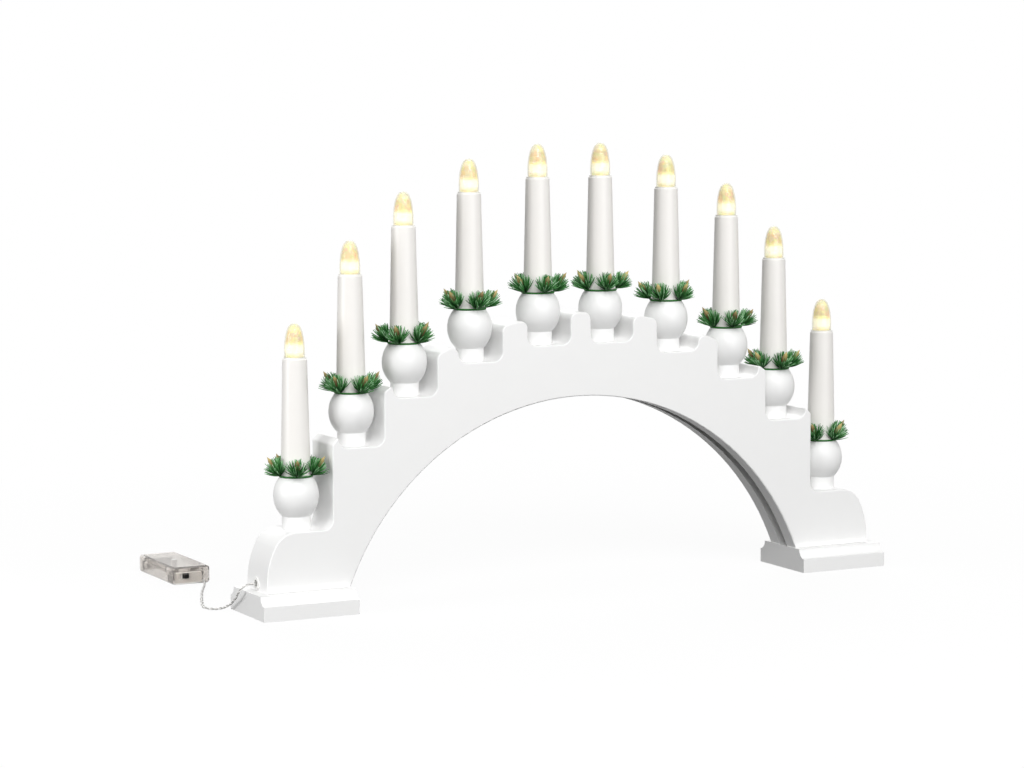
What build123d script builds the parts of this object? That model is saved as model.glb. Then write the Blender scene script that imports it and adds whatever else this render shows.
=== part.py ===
"""Candle arch: a white wooden arch on two moulded plinths that carries ten candle-shaped lamps.

Each lamp stands in a turned cup: a tapered tube, a lamp holder with its emitter and a clear flame bulb, with
a ring of pine tufts round its foot. The leads run in a groove under the arch and out of the left end, along a
thin cord, to a clear battery box that lies behind the left plinth.

Millimetres. X runs along the arch, -Y faces the viewer, +Z is up. The origin is on the table under the middle
of the arch.
"""
from build123d import *
import math
import os

os.makedirs("parts", exist_ok=True)

# Arch board
BOARD_THICKNESS = 35.8
OPENING_RADIUS = 193.5
OPENING_CROWN_Z = 140.0
BACK_RADIUS = 265.0
CROWN_Z = 199.7
FOOT_END_X = 242.5
SIDE_START_Z = 22.0
SIDE_RADIUS = 58.0
SHOULDER_RADIUS = 17.0
BOARD_EDGE_ROUND = 0.8

# Candle seats, from the middle of the arch outwards, alike on both sides
CANDLE_X = (25.2, 79.3, 130.0, 170.8, 212.8)
TREAD_Z = (177.2, 167.8, 146.0, 113.5, 57.9)
POCKET_HALF_WIDTH = 17.2
END_POCKET_HALF_WIDTH = 20.0
POCKET_FILLET = 7.0
HUMP_ROUND = 5.5
LIP_ROUND = 0.6
HUMP_ROUND_SHARE = 0.45
LIP_ROUND_SHARE = 0.6
LIP_WIDTH_SHARE = 0.25

# Wire way
GROOVE_WIDTH = 11.0
GROOVE_DEPTH = 9.0
WIRE_BORE_RADIUS = 3.0
WIRE_EXIT_Z = 21.9
LEAD_RADIUS = 0.8
LEAD_GAP = 0.4

# Plinths
PLINTH_OUTER_X = 250.0
PLINTH_TOE = 1.1
PLINTH_DEPTH = 61.7
PLINTH_HEIGHT = 16.7
COVE_RADIUS = 6.5
PLINTH_EDGE_ROUND = 0.6
SCREW_Y = 10.0
SCREW_SHANK_RADIUS = 1.75
SCREW_HEAD_RADIUS = 3.6
SCREW_HEAD_HEIGHT = 2.4
SCREW_LENGTH = 34.0
SCREW_SINK = 0.5

# Candle cups
SPIGOT_RADIUS = 6.0
SPIGOT_LENGTH = 8.0
NECK_RADIUS = 9.9
NECK_HEIGHT = 8.9
BALL_HEIGHT = 27.0
BALL_RADIUS = 15.8
BALL_WAIST_HEIGHT = 14.0
BALL_TOP_RADIUS = 11.3
SOCKET_DEPTH = 8.0
SEAT_CLEARANCE = 0.1

# Candle tubes, lamp holders, emitters and flame bulbs
TUBE_FOOT_RADIUS = 10.4
TUBE_TOP_RADIUS = 8.5
TUBE_HEIGHT = 81.5
TUBE_WALL = 1.2
TUBE_RIM_ROUND = 0.5
HOLDER_DEPTH = 6.0
HOLDER_FLANGE_RADIUS = 7.9
HOLDER_FLANGE_HEIGHT = 1.2
EMITTER_RADIUS = 2.5
EMITTER_HEIGHT = 6.0
EMITTER_FOOT = 1.5
BULB_RADIUS = 7.2
BULB_STRAIGHT = 9.2
BULB_HEIGHT = 23.5
BULB_WALL = 1.0
BULB_TIP_RADIUS = 1.3
BULB_SWELL = 0.15
BULB_LIFT = 0.06

# Pine rings: tufts of needles and a bud on a wire ring
RING_WIRE_RADIUS = 0.7
RING_GAP = 0.1
TUFT_COUNT = 5
TUFT_LEAN = 62.0
STUB_LENGTH = 3.2
STUB_RADIUS = 0.85
NEEDLE_LENGTH = 9.5
NEEDLE_RADIUS = 0.45
NEEDLE_TIP_RADIUS = 0.15
OUTER_NEEDLES = 4
OUTER_TILT = 38.0
INNER_NEEDLES = 2
INNER_TILT = 24.0
BUD_LENGTH = 10.0
BUD_RADIUS = 1.3
RING_TURN = (8.8, 36.0, -17.0, 26.5, 23.0, 20.0, -20.0, 20.0, 25.0, -27.2)
FIRST_TUFT_ANGLE = 243.2

# Grommet where the cord leaves the left end
GROMMET_FLANGE_RADIUS = 4.5
GROMMET_FLANGE = 1.0
GROMMET_SLEEVE_RADIUS = 3.5
GROMMET_SLEEVE = 7.0
GROMMET_BORE_RADIUS = 2.5

# Cord: a thin twisted pair, from inside the grommet to the battery box
CORD_RADIUS = 0.85
CORD_POINTS = [
    (-241.4, 0.0, 21.9),
    (-245.4, -0.1, 21.9),
    (-249.6, -0.2, 21.6),
    (-253.2, 0.4, 19.8),
    (-254.8, 2.6, 16.6),
    (-255.0, 6.0, 13.2),
    (-254.6, 10.8, 10.4),
    (-254.4, 16.0, 7.4),
    (-254.6, 21.6, 4.4),
    (-256.8, 26.6, 1.8),
    (-260.6, 29.8, 0.9),
    (-264.6, 33.0, 0.9),
    (-266.2, 38.4, 0.9),
    (-265.0, 45.6, 0.9),
    (-261.2, 57.0, 0.9),
    (-254.0, 76.0, 0.9),
    (-245.4, 98.0, 0.9),
    (-237.0, 116.0, 1.0),
    (-231.2, 127.8, 1.7),
    (-229.2, 138.0, 2.4),
]
CORD_BEND_SHARE = 0.45
CORD_DRILL_REACH = 4.0

# Battery box, for two AAA cells
BOX_X = -238.0
BOX_FRONT_Y = 137.0
BOX_WIDTH = 29.4
BOX_LENGTH = 72.0
BOX_HEIGHT = 13.0
BOX_WALL = 1.2
BOX_CORNER = 3.2
BOX_EDGE_ROUND = 2.6
BOX_SPLIT_Z = 9.4
LID_GAP = 0.1
SWITCH_BAY_LENGTH = 12.4
CELL_X = 8.0
BOSS_RADIUS = 2.4
LID_SCREW_RADIUS = 1.0
LID_SCREW_HEAD_RADIUS = 1.9
LID_SCREW_HEAD = 1.2
LID_SCREW_LENGTH = 9.0
LID_RIB = 0.9
LID_RIB_DEPTH = 2.0
LID_RIB_LENGTH = 36.0

# Slide switch behind the box's front wall
SWITCH_BODY_WIDTH = 19.0
SWITCH_BODY_OFFSET = -1.3
SWITCH_BODY_HEIGHT = 7.0
SWITCH_BODY_DEPTH = 5.5
SWITCH_BODY_GAP = 0.1
SLIDER_OFFSET = -4.0
SLIDER_Z = 6.2
SLIDER_WIDTH = 3.2
SLIDER_HEIGHT = 2.8
SLIDER_PROUD = 0.9
SLIDER_TRAVEL = 3.0
SLIDER_FOOT = 0.5
SLIDER_FOOT_DEPTH = 1.5
SLIDER_CLEARANCE = 0.15
WINDOW_FRAME = 0.8
WINDOW_FRAME_PROUD = 0.4

# Cell contacts
CONTACT_THICKNESS = 0.4
CONTACT_WIDTH = 6.8
CONTACT_HEIGHT = 7.0
SPRING_RADIUS = 2.8
SPRING_WIRE_RADIUS = 0.35
SPRING_TURNS = 4
SPRING_PITCH = 1.4
SPRING_END_BEND = 0.9
STRIP_HEIGHT = 5.6


def turned(profile):
    """Revolve a closed profile, drawn in X and Z, about the Z axis."""
    return revolve(Plane.XZ * profile, axis=Axis.Z)


def outline(*edges):
    """Close a chain of edges, drawn flat, into a face."""
    return make_face(Curve() + list(edges))


def along_x(x_from, x_to, radius, y, z):
    """A round bar along X."""
    bar = Plane.YZ.offset(x_from) * Pos(y, z) * Circle(radius)
    return extrude(bar, x_to - x_from)


def upright(x, z_from, z_to, radius, y=0.0):
    """A round bar along Z."""
    return Pos(x, y, z_from) * Cylinder(radius, z_to - z_from, align=(Align.CENTER, Align.CENTER, Align.MIN))


def block(x_range, y_range, z_range):
    """A box between the given limits."""
    low = Pos(x_range[0], y_range[0], z_range[0])
    size = (x_range[1] - x_range[0], y_range[1] - y_range[0], z_range[1] - z_range[0])
    return low * Box(*size, align=(Align.MIN, Align.MIN, Align.MIN))


def on_circle_x(radius, centre_z, z):
    """Half the width of a circle, centred on X = 0, at height z."""
    return math.sqrt(radius**2 - (z - centre_z) ** 2)


def on_circle_z(radius, centre_z, x):
    """Height of the upper side of a circle, centred on X = 0, at x."""
    return centre_z + math.sqrt(radius**2 - x**2)


# Values that follow from the sizes above
OPENING_CENTRE_Z = OPENING_CROWN_Z - OPENING_RADIUS
FOOT_INNER_X = on_circle_x(OPENING_RADIUS, OPENING_CENTRE_Z, PLINTH_HEIGHT)
PLINTH_INNER_X = FOOT_INNER_X - PLINTH_TOE
SCREW_X = (FOOT_INNER_X + FOOT_END_X) / 2
BACK_CENTRE_Z = CROWN_Z - BACK_RADIUS
HALF_COUNT = len(CANDLE_X)
ALL_X = [-x for x in reversed(CANDLE_X)] + list(CANDLE_X)
ALL_TREADS = list(reversed(TREAD_Z)) + list(TREAD_Z)
BALL_TOP = NECK_HEIGHT + BALL_HEIGHT
RIM = BALL_TOP + TUBE_HEIGHT
TUBE_BORE_TOP = TUBE_TOP_RADIUS - TUBE_WALL
LEAD_ARC_RADIUS = OPENING_RADIUS + GROOVE_DEPTH - LEAD_GAP - LEAD_RADIUS
END_X = CANDLE_X[-1]
END_TREAD = TREAD_Z[-1]


def lead_foot(radius, x):
    """Height where a candle's lead leaves the run of that radius: on its arc, or level with the end bores."""
    side = on_circle_x(radius, OPENING_CENTRE_Z, WIRE_EXIT_Z)
    return on_circle_z(radius, OPENING_CENTRE_Z, x) if abs(x) < side else WIRE_EXIT_Z


def pocket(x, tread):
    """Side view of a candle's pocket: a flat tread between two rounded corners, open at the top."""
    height = CROWN_Z + SHOULDER_RADIUS - tread
    shape = Pos(x, tread) * Rectangle(2 * POCKET_HALF_WIDTH, height, align=(Align.CENTER, Align.MIN))
    return fillet(shape.vertices().group_by(Axis.Y)[0], POCKET_FILLET)


def round_from(centre, radius, start, end):
    """An arc round a centre, from one angle to another in degrees."""
    return ThreePointArc(
        *[centre + Vector(radius, 0).rotate(Axis.Z, angle) for angle in (start, (start + end) / 2, end)]
    )


def end_pocket():
    """Side view of what is cut away over the right foot: the last tread, the shoulder and the rounded side."""
    wall = END_X - END_POCKET_HALF_WIDTH
    top = CROWN_Z + SHOULDER_RADIUS
    far = FOOT_END_X + SHOULDER_RADIUS
    apart = SIDE_RADIUS - SHOULDER_RADIUS
    side = Vector(FOOT_END_X - SIDE_RADIUS, SIDE_START_Z)
    lean = math.degrees(math.asin((END_TREAD - SHOULDER_RADIUS - SIDE_START_Z) / apart))
    shoulder = side + Vector(apart, 0).rotate(Axis.Z, lean)
    corner = Vector(wall + POCKET_FILLET, END_TREAD + POCKET_FILLET)
    return outline(
        Line((wall, top), (wall, corner.Y)),
        round_from(corner, POCKET_FILLET, 180, 270),
        Line((corner.X, END_TREAD), (shoulder.X, END_TREAD)),
        round_from(shoulder, SHOULDER_RADIUS, 90, lean),
        round_from(side, SIDE_RADIUS, lean, 0),
        Line((FOOT_END_X, SIDE_START_Z), (far, SIDE_START_Z)),
        Line((far, SIDE_START_Z), (far, top)),
        Line((far, top), (wall, top)),
    )


def round_humps(board):
    """Round the two top corners of every hump between the pockets."""
    for left in range(2 * HALF_COUNT - 1):
        ridges = [
            (edge.center(), edge)
            for edge in board.edges().filter_by(Axis.Y)
            if ALL_X[left] < edge.center().X < ALL_X[left + 1]
            and abs(math.hypot(edge.center().X, edge.center().Z - BACK_CENTRE_Z) - BACK_RADIUS) < 0.001
        ]
        ridges.sort(key=lambda ridge: ridge[0].X)
        width = ridges[1][0].X - ridges[0][0].X
        for (corner, _), tread in zip(ridges, (ALL_TREADS[left], ALL_TREADS[left + 1])):
            straight = corner.Z - tread - POCKET_FILLET
            if straight > HUMP_ROUND:
                radius = min(HUMP_ROUND, HUMP_ROUND_SHARE * width)
            else:
                radius = min(max(LIP_ROUND, LIP_ROUND_SHARE * straight), LIP_WIDTH_SHARE * width)
            edge = board.edges().filter_by(Axis.Y).sort_by_distance(corner)[0]
            board = fillet(edge, radius)
    return board


def arch_board():
    """The arch: pockets and shoulders in its back, a wire groove under it and a bore at each candle."""
    back = Pos(0, BACK_CENTRE_Z) * Circle(BACK_RADIUS)
    opening = Pos(0, OPENING_CENTRE_Z) * Circle(OPENING_RADIUS)
    above = Pos(0, PLINTH_HEIGHT) * Rectangle(2 * FOOT_END_X, CROWN_Z, align=(Align.CENTER, Align.MIN))
    feet = Rectangle(2 * FOOT_END_X, END_TREAD - PLINTH_HEIGHT, align=(Align.CENTER, Align.MIN))
    side = (back & above) + Pos(0, PLINTH_HEIGHT) * feet - opening
    for x, tread in zip(ALL_X[1:-1], ALL_TREADS[1:-1]):
        side -= pocket(x, tread)
    side -= end_pocket()
    side -= mirror(end_pocket(), Plane.YZ)
    board = round_humps(extrude(Plane.XZ * side, BOARD_THICKNESS / 2, both=True))
    faces = board.faces().filter_by(Axis.Y)
    board = fillet(faces.edges(), BOARD_EDGE_ROUND)

    ring = Circle(OPENING_RADIUS + GROOVE_DEPTH) - Circle(OPENING_RADIUS - GROOVE_DEPTH)
    board -= extrude(Plane.XZ * Pos(0, OPENING_CENTRE_Z) * ring, GROOVE_WIDTH / 2, both=True)
    for x, tread in zip(ALL_X, ALL_TREADS):
        board -= upright(x, lead_foot(OPENING_RADIUS, x), tread, WIRE_BORE_RADIUS)
        board -= upright(x, tread - SPIGOT_LENGTH - SEAT_CLEARANCE, tread, SPIGOT_RADIUS + SEAT_CLEARANCE)
    start = on_circle_x(OPENING_RADIUS, OPENING_CENTRE_Z, WIRE_EXIT_Z)
    board -= along_x(-FOOT_END_X, -start, WIRE_BORE_RADIUS, 0, WIRE_EXIT_Z)
    board -= along_x(start, END_X, WIRE_BORE_RADIUS, 0, WIRE_EXIT_Z)
    seat = GROMMET_SLEEVE_RADIUS + SEAT_CLEARANCE
    board -= along_x(-FOOT_END_X, -FOOT_END_X + GROMMET_SLEEVE + SEAT_CLEARANCE, seat, 0, WIRE_EXIT_Z)
    for x in (-SCREW_X, SCREW_X):
        for y in (-SCREW_Y, SCREW_Y):
            tip = SCREW_SINK + SCREW_LENGTH + SEAT_CLEARANCE
            board -= upright(x, PLINTH_HEIGHT, tip, SCREW_SHANK_RADIUS + SEAT_CLEARANCE, y)
    return board


def screw(x, y):
    """A countersunk wood screw, head down, sunk a little into the plinth's underside."""
    profile = Polyline(
        (0, 0),
        (SCREW_HEAD_RADIUS, 0),
        (SCREW_SHANK_RADIUS, SCREW_HEAD_HEIGHT),
        (SCREW_SHANK_RADIUS, SCREW_LENGTH - SCREW_SHANK_RADIUS),
        (0, SCREW_LENGTH),
        close=True,
    )
    return Pos(x, y, SCREW_SINK) * turned(make_face(profile))


def plinth(direction):
    """A plinth under one foot: a length of moulding with a cove along both long edges."""
    half = PLINTH_DEPTH / 2
    top = half - COVE_RADIUS
    step = PLINTH_HEIGHT - COVE_RADIUS
    inset = COVE_RADIUS * math.sqrt(0.5)
    section = outline(
        Line((-half, 0), (half, 0)),
        Line((half, 0), (half, step)),
        ThreePointArc((half, step), (half - inset, PLINTH_HEIGHT - inset), (top, PLINTH_HEIGHT)),
        Line((top, PLINTH_HEIGHT), (-top, PLINTH_HEIGHT)),
        ThreePointArc((-top, PLINTH_HEIGHT), (inset - half, PLINTH_HEIGHT - inset), (-half, step)),
        Line((-half, step), (-half, 0)),
    )
    bar = extrude(Plane.YZ.offset(PLINTH_INNER_X) * section, PLINTH_OUTER_X - PLINTH_INNER_X)
    bar = fillet(bar.edges().filter_by(Axis.Z), PLINTH_EDGE_ROUND)
    for y in (-SCREW_Y, SCREW_Y):
        reach = SCREW_HEAD_RADIUS - SCREW_SHANK_RADIUS
        hole = Polyline(
            (0, 0),
            (SCREW_HEAD_RADIUS + SEAT_CLEARANCE, 0),
            (SCREW_HEAD_RADIUS + SEAT_CLEARANCE, SCREW_SINK),
            (SCREW_HEAD_RADIUS + SEAT_CLEARANCE - reach, SCREW_SINK + SCREW_HEAD_HEIGHT),
            (SCREW_HEAD_RADIUS + SEAT_CLEARANCE - reach, PLINTH_HEIGHT),
            (0, PLINTH_HEIGHT),
            close=True,
        )
        bar -= Pos(SCREW_X, y) * turned(make_face(hole))
    return bar if direction > 0 else mirror(bar, Plane.YZ)


def candle_cup():
    """A turned cup: a spigot, a neck and a ball, cut flat and bored for the tube. Z = 0 is the tread."""
    socket = TUBE_FOOT_RADIUS + SEAT_CLEARANCE
    floor = BALL_TOP - SOCKET_DEPTH
    waist = (BALL_RADIUS, NECK_HEIGHT + BALL_WAIST_HEIGHT)
    ball = ((NECK_RADIUS, NECK_HEIGHT), waist, (BALL_TOP_RADIUS, BALL_TOP))
    arc = ThreePointArc(*ball)
    return turned(
        outline(
            Line((WIRE_BORE_RADIUS, -SPIGOT_LENGTH), (SPIGOT_RADIUS, -SPIGOT_LENGTH)),
            Line((SPIGOT_RADIUS, -SPIGOT_LENGTH), (SPIGOT_RADIUS, 0)),
            Line((SPIGOT_RADIUS, 0), (NECK_RADIUS, 0)),
            Line((NECK_RADIUS, 0), (NECK_RADIUS, NECK_HEIGHT)),
            Spline(*ball, tangents=(arc % 0, arc % 1)),
            Line((BALL_TOP_RADIUS, BALL_TOP), (socket, BALL_TOP)),
            Line((socket, BALL_TOP), (socket, floor)),
            Line((socket, floor), (WIRE_BORE_RADIUS, floor)),
            Line((WIRE_BORE_RADIUS, floor), (WIRE_BORE_RADIUS, -SPIGOT_LENGTH)),
        )
    )


def candle_tube():
    """A tapered, hollow candle tube with a straight foot in the cup. Z = 0 is the tread."""
    foot = BALL_TOP - SOCKET_DEPTH
    inner = TUBE_FOOT_RADIUS - TUBE_WALL
    section = Polyline(
        (inner, foot),
        (TUBE_FOOT_RADIUS, foot),
        (TUBE_FOOT_RADIUS, BALL_TOP),
        (TUBE_TOP_RADIUS, RIM),
        (TUBE_BORE_TOP, RIM),
        (TUBE_BORE_TOP, RIM - HOLDER_DEPTH),
        (inner, BALL_TOP),
        close=True,
    )
    tube = turned(make_face(section))
    rim = tube.edges().filter_by(GeomType.CIRCLE).group_by(Axis.Z)[-1].sort_by(SortBy.RADIUS)[-1]
    return fillet(rim, TUBE_RIM_ROUND)


def lamp_holder():
    """A flanged plug in the tube's mouth that holds the emitter. Z = 0 is the tread."""
    plug = TUBE_BORE_TOP - SEAT_CLEARANCE
    bore = EMITTER_RADIUS + SEAT_CLEARANCE
    section = Polyline(
        (bore, RIM - HOLDER_DEPTH),
        (plug, RIM - HOLDER_DEPTH),
        (plug, RIM),
        (HOLDER_FLANGE_RADIUS, RIM),
        (HOLDER_FLANGE_RADIUS, RIM + HOLDER_FLANGE_HEIGHT),
        (bore, RIM + HOLDER_FLANGE_HEIGHT),
        close=True,
    )
    return turned(make_face(section))


def emitter():
    """The lamp's domed emitter, pushed through the holder. Z = 0 is the tread."""
    foot = RIM - EMITTER_FOOT
    dome = foot + EMITTER_HEIGHT
    inset = EMITTER_RADIUS * math.sqrt(0.5)
    section = outline(
        Line((0, foot), (EMITTER_RADIUS, foot)),
        Line((EMITTER_RADIUS, foot), (EMITTER_RADIUS, dome)),
        ThreePointArc((EMITTER_RADIUS, dome), (inset, dome + inset), (0, dome + EMITTER_RADIUS)),
        Line((0, dome + EMITTER_RADIUS), (0, foot)),
    )
    return turned(section)


def flame_profile(radius, tip_radius, height, foot):
    """Half of a flame shape: straight sides, a pointed arch and a small round tip."""
    shoulder = foot + BULB_STRAIGHT
    tip = foot + height - tip_radius * (1 - math.sqrt(0.5))
    side = tip_radius * math.sqrt(0.5)
    middle = ((radius + side) / 2 + BULB_SWELL * radius, (shoulder + tip) / 2 + BULB_LIFT * height)
    return [
        Line((radius, foot), (radius, shoulder)),
        ThreePointArc((radius, shoulder), middle, (side, tip)),
        ThreePointArc(
            (side, tip),
            (tip_radius * math.sin(math.pi / 8), foot + height - tip_radius * (1 - math.cos(math.pi / 8))),
            (0, foot + height),
        ),
    ]


def flame_bulb():
    """A clear, hollow flame bulb that stands on the holder's flange. Z = 0 is the tread."""
    foot = RIM + HOLDER_FLANGE_HEIGHT
    outer = flame_profile(BULB_RADIUS, BULB_TIP_RADIUS, BULB_HEIGHT, foot)
    hollow = flame_profile(BULB_RADIUS - BULB_WALL, BULB_TIP_RADIUS, BULB_HEIGHT - 2 * BULB_WALL, foot)
    tip = foot + BULB_HEIGHT
    top = tip - 2 * BULB_WALL
    shape = outline(*outer, Line((0, tip), (0, foot)), Line((0, foot), (BULB_RADIUS, foot)))
    core = outline(*hollow, Line((0, top), (0, foot)), Line((0, foot), (BULB_RADIUS - BULB_WALL, foot)))
    return turned(shape) - turned(core)


def spike(plane, root_radius, tip_radius, length, sides):
    """A tapered spike with flat sides, along the plane's normal."""
    root = plane * RegularPolygon(root_radius, sides)
    tip = plane.offset(length) * RegularPolygon(tip_radius, sides)
    return loft([root, tip], ruled=True)


def tuft(ring_radius, ring_z):
    """One pine tuft on the ring, leaning out along +X: a stub, a bud and a cone of needles."""
    lean = math.radians(TUFT_LEAN)
    axis = Vector(math.cos(lean), 0, math.sin(lean))
    down_out = Vector(math.sin(lean), 0, -math.cos(lean))
    across = Vector(0, 1, 0)
    root = Vector(ring_radius, 0, ring_z)
    heart = root + axis * STUB_LENGTH
    pieces = [spike(Plane(root, z_dir=axis), STUB_RADIUS, STUB_RADIUS, STUB_LENGTH, 6)]
    pieces.append(spike(Plane(heart, z_dir=axis), BUD_RADIUS, NEEDLE_TIP_RADIUS, BUD_LENGTH, 6))
    for count, tilt, first in ((OUTER_NEEDLES, OUTER_TILT, 0.0), (INNER_NEEDLES, INNER_TILT, 0.5)):
        for k in range(count):
            turn = 2 * math.pi * (k + first) / count
            side = down_out * math.cos(turn) + across * math.sin(turn)
            way = axis * math.cos(math.radians(tilt)) + side * math.sin(math.radians(tilt))
            start = heart - axis * NEEDLE_RADIUS
            pieces.append(spike(Plane(start, z_dir=way), NEEDLE_RADIUS, NEEDLE_TIP_RADIUS, NEEDLE_LENGTH, 3))
    return pieces


def pine_ring():
    """A wire ring on the cup's flat top with its tufts, the first one along +X. Z = 0 is the tread."""
    radius = TUBE_FOOT_RADIUS + RING_GAP + RING_WIRE_RADIUS
    z = BALL_TOP + RING_WIRE_RADIUS
    wire = Plane.XZ * Pos(radius, z) * RegularPolygon(RING_WIRE_RADIUS, 4)
    ring = revolve(wire, axis=Axis.Z)
    pieces = []
    for k in range(TUFT_COUNT):
        turn = Rot(Z=360.0 * k / TUFT_COUNT)
        pieces += [turn * piece for piece in tuft(radius, z)]
    return ring.fuse(*pieces)


def wiring_harness():
    """The leads: one run in the groove, a branch up into each candle and a tail to the cord."""
    side = on_circle_x(LEAD_ARC_RADIUS, OPENING_CENTRE_Z, WIRE_EXIT_Z)
    left = Vector(-side, 0, WIRE_EXIT_Z)
    crown = Vector(0, 0, OPENING_CENTRE_Z + LEAD_ARC_RADIUS)
    run = ThreePointArc(left, crown, Vector(side, 0, WIRE_EXIT_Z))
    harness = sweep(Plane(left, z_dir=run % 0) * Circle(LEAD_RADIUS), path=run)
    branches = [along_x(CORD_POINTS[0][0], -side, LEAD_RADIUS, 0, WIRE_EXIT_Z)]
    branches.append(along_x(side, END_X, LEAD_RADIUS, 0, WIRE_EXIT_Z))
    for x, tread in zip(ALL_X, ALL_TREADS):
        branches.append(upright(x, lead_foot(LEAD_ARC_RADIUS, x), tread + RIM - EMITTER_FOOT, LEAD_RADIUS))
    return harness.fuse(*branches)


def cable_grommet():
    """A flanged bush in the left end, round the cord."""
    face = -FOOT_END_X
    bush = along_x(face - GROMMET_FLANGE, face, GROMMET_FLANGE_RADIUS, 0, WIRE_EXIT_Z)
    bush += along_x(face, face + GROMMET_SLEEVE, GROMMET_SLEEVE_RADIUS, 0, WIRE_EXIT_Z)
    return bush - along_x(face - GROMMET_FLANGE, face + GROMMET_SLEEVE, GROMMET_BORE_RADIUS, 0, WIRE_EXIT_Z)


def cord():
    """The cord's tube along its hand-laid route, with bends as large as its runs allow."""
    points = [Vector(*p) for p in CORD_POINTS]
    radii = []
    for before, here, after in zip(points, points[1:], points[2:]):
        turn = math.radians((here - before).get_angle(after - here))
        shorter = min((here - before).length, (after - here).length)
        radii.append(CORD_BEND_SHARE * shorter / math.tan(turn / 2))
    path = FilletPolyline(*points, radius=radii)
    tube = sweep(Plane(path @ 0, z_dir=path % 0) * Circle(CORD_RADIUS), path=path)
    print("cord bend radii", [round(r, 1) for r in radii])
    section = math.pi * CORD_RADIUS**2
    print("cord length", round(path.length, 1), "volume share", round(tube.volume / section / path.length, 4))
    return tube


# Battery box values
BOX_BACK_Y = BOX_FRONT_Y + BOX_LENGTH
BOX_MID_Y = BOX_FRONT_Y + BOX_LENGTH / 2
BOX_INNER_HALF = BOX_WIDTH / 2 - BOX_WALL
BAY_START_Y = BOX_FRONT_Y + 2 * BOX_WALL + SWITCH_BAY_LENGTH
BAY_END_Y = BOX_BACK_Y - BOX_WALL
SWITCH_FACE_Y = BOX_FRONT_Y + BOX_WALL + SWITCH_BODY_GAP
SLIDER_X = BOX_X + SLIDER_OFFSET
LID_SCREW_Y = BOX_MID_Y


def box_shell(z_from, z_to):
    """A block with the battery box's rounded plan."""
    plan = Pos(BOX_X, BOX_MID_Y) * RectangleRounded(BOX_WIDTH, BOX_LENGTH, BOX_CORNER)
    return extrude(Pos(0, 0, z_from) * plan, z_to - z_from)


def battery_case():
    """The clear tray: a switch bay, a bulkhead, a bay for two cells and a screw boss between them."""
    case = box_shell(0, BOX_SPLIT_Z)
    case = fillet(case.faces().sort_by(Axis.Z)[0].edges(), BOX_EDGE_ROUND)
    x_range = (BOX_X - BOX_INNER_HALF, BOX_X + BOX_INNER_HALF)
    bay_from = BOX_FRONT_Y + BOX_WALL
    corner = BOX_CORNER - BOX_WALL
    for y_range in ((bay_from, bay_from + SWITCH_BAY_LENGTH), (BAY_START_Y, BAY_END_Y)):
        bay = block(x_range, y_range, (BOX_WALL, BOX_SPLIT_Z))
        case -= fillet(bay.edges().filter_by(Axis.Z), corner)
    case += upright(BOX_X, BOX_WALL, BOX_SPLIT_Z, BOSS_RADIUS, LID_SCREW_Y)
    pilot = LID_SCREW_RADIUS + SEAT_CLEARANCE
    tip = BOX_HEIGHT - LID_SCREW_LENGTH - SEAT_CLEARANCE
    case -= upright(BOX_X, tip, BOX_SPLIT_Z, pilot, LID_SCREW_Y)
    half_height = SLIDER_HEIGHT / 2 + SLIDER_CLEARANCE
    half_width = SLIDER_WIDTH / 2 + SLIDER_CLEARANCE
    x_window = (SLIDER_X - half_width - SLIDER_TRAVEL, SLIDER_X + half_width)
    z_window = (SLIDER_Z - half_height, SLIDER_Z + half_height)
    front = BOX_FRONT_Y - WINDOW_FRAME_PROUD
    case += block(
        (x_window[0] - WINDOW_FRAME, x_window[1] + WINDOW_FRAME),
        (front, BOX_FRONT_Y),
        (z_window[0] - WINDOW_FRAME, z_window[1] + WINDOW_FRAME),
    )
    window = block(x_window, (front, bay_from), z_window)
    end = Vector(*CORD_POINTS[-1])
    way = (end - Vector(*CORD_POINTS[-2])).normalized()
    drill = Plane(end, z_dir=way) * Circle(CORD_RADIUS + SEAT_CLEARANCE)
    return case - window - extrude(drill, CORD_DRILL_REACH, both=True)


def battery_lid():
    """The clear lid: a shallow cap with a screw boss and a locating rib inside each long wall."""
    foot = BOX_SPLIT_Z + LID_GAP
    lid = box_shell(foot, BOX_HEIGHT)
    lid = fillet(lid.faces().sort_by(Axis.Z)[-1].edges(), BOX_EDGE_ROUND)
    x_range = (BOX_X - BOX_INNER_HALF, BOX_X + BOX_INNER_HALF)
    y_range = (BOX_FRONT_Y + BOX_WALL, BOX_BACK_Y - BOX_WALL)
    hollow = block(x_range, y_range, (foot, BOX_HEIGHT - BOX_WALL))
    lid -= fillet(hollow.edges().filter_by(Axis.Z), BOX_CORNER - BOX_WALL)
    lid += upright(BOX_X, foot, BOX_HEIGHT - BOX_WALL, BOSS_RADIUS, LID_SCREW_Y)
    for direction in (-1, 1):
        outer = direction * (BOX_INNER_HALF - SEAT_CLEARANCE)
        inner = outer - direction * LID_RIB
        span = sorted((BOX_X + outer, BOX_X + inner))
        y_span = (LID_SCREW_Y - LID_RIB_LENGTH / 2, LID_SCREW_Y + LID_RIB_LENGTH / 2)
        lid += block(span, y_span, (foot - LID_RIB_DEPTH, BOX_HEIGHT - BOX_WALL))
    lid -= upright(BOX_X, foot, BOX_HEIGHT, LID_SCREW_RADIUS + SEAT_CLEARANCE, LID_SCREW_Y)
    head = LID_SCREW_HEAD_RADIUS + SEAT_CLEARANCE
    return lid - upright(BOX_X, BOX_HEIGHT - LID_SCREW_HEAD, BOX_HEIGHT, head, LID_SCREW_Y)


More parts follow.
